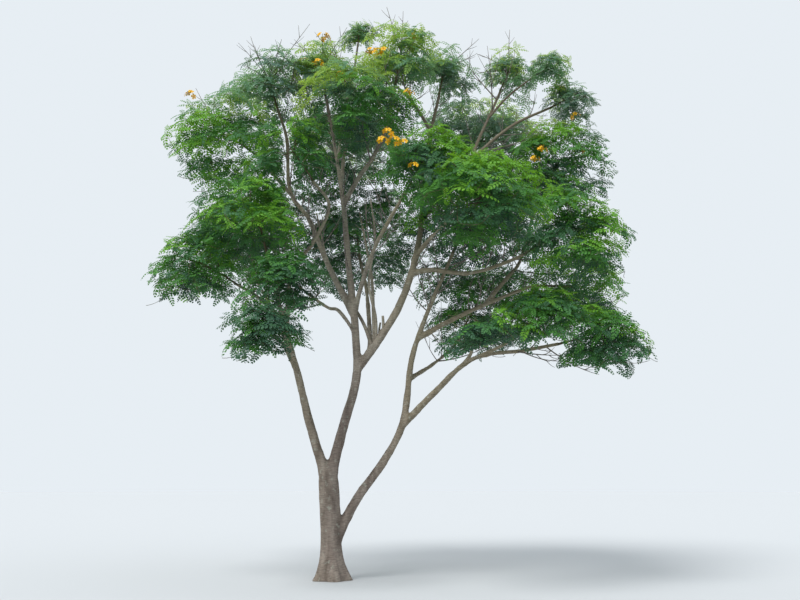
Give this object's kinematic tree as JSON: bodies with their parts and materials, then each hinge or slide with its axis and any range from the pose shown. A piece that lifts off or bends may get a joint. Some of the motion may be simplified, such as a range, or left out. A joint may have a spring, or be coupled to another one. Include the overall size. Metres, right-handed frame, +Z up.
{
  "type": "yellow flame tree",
  "caption": "Open-crowned tree with leaning stems from a short flared bole, long arching boughs, feathery leaf masses and yellow-orange blossom",
  "frame": {"origin": "middle of the flat cut under the bole, at ground level", "axes": "+Z up along the bole, +X to the viewer's right and +Y away from the viewer in the picture"},
  "size_m": [8.5532, 7.2511, 10.4388],
  "materials": {
    "bark": "matte, smooth grey-brown bark with a pinkish cast and fine corky pores",
    "young_bark": "matte, smoother olive-grey bark of the upper limbs",
    "leaves": "satin feathery leaves, bright yellow-green outside and deep green inside the crown, with orange-yellow blossom"
  },
  "bodies": {
    "root": {"back_bough": "young_bark", "back_crown_bough": "young_bark", "back_crown_foliage": "leaves", "back_middle_foliage": "leaves", "back_right_bough": "young_bark", "back_right_foliage": "leaves", "bole": "bark", "crest_far_left_foliage": "leaves", "crest_left_foliage": "leaves", "crest_middle_foliage": "leaves", "crest_right_foliage": "leaves", "crest_tuft_bough": "young_bark", "crest_tuft_foliage": "leaves", "crown_bough": "young_bark", "crown_centre_foliage": "leaves", "far_left_foliage": "leaves", "far_right_low_foliage": "leaves", "fork_bough": "young_bark", "front_low_right_bough": "young_bark", "front_low_right_foliage": "leaves", "front_middle_foliage": "leaves", "front_right_bough": "young_bark", "front_right_foliage": "leaves", "high_right_bough": "young_bark", "high_right_foliage": "leaves", "left_back_bough": "young_bark", "left_back_foliage": "leaves", "left_crown_bough": "young_bark", "left_crown_foliage": "leaves", "left_front_foliage": "leaves", "left_front_low_bough": "young_bark", "left_inner_bough": "young_bark", "left_inner_foliage": "leaves", "left_low_bough": "young_bark", "left_low_front_foliage": "leaves", "left_stem": "bark", "level_bough": "young_bark", "low_middle_bough": "young_bark", "low_middle_foliage": "leaves", "middle_inner_bough": "young_bark", "middle_left_bough": "young_bark", "middle_stem": "bark", "over_bough": "young_bark", "right_back_low_bough": "young_bark", "right_back_low_foliage": "leaves", "right_front_foliage": "leaves", "right_high_bough": "young_bark", "right_high_foliage": "leaves", "right_inner_foliage": "leaves", "right_low_bough": "young_bark", "right_low_inner_bough": "young_bark", "right_low_inner_foliage": "leaves", "right_mid_bough": "young_bark", "right_mid_foliage": "leaves", "right_stem": "bark", "spur_right_bough": "young_bark", "spur_right_foliage": "leaves", "tall_right_bough": "young_bark", "tall_right_foliage": "leaves"}
  },
  "joints": []
}
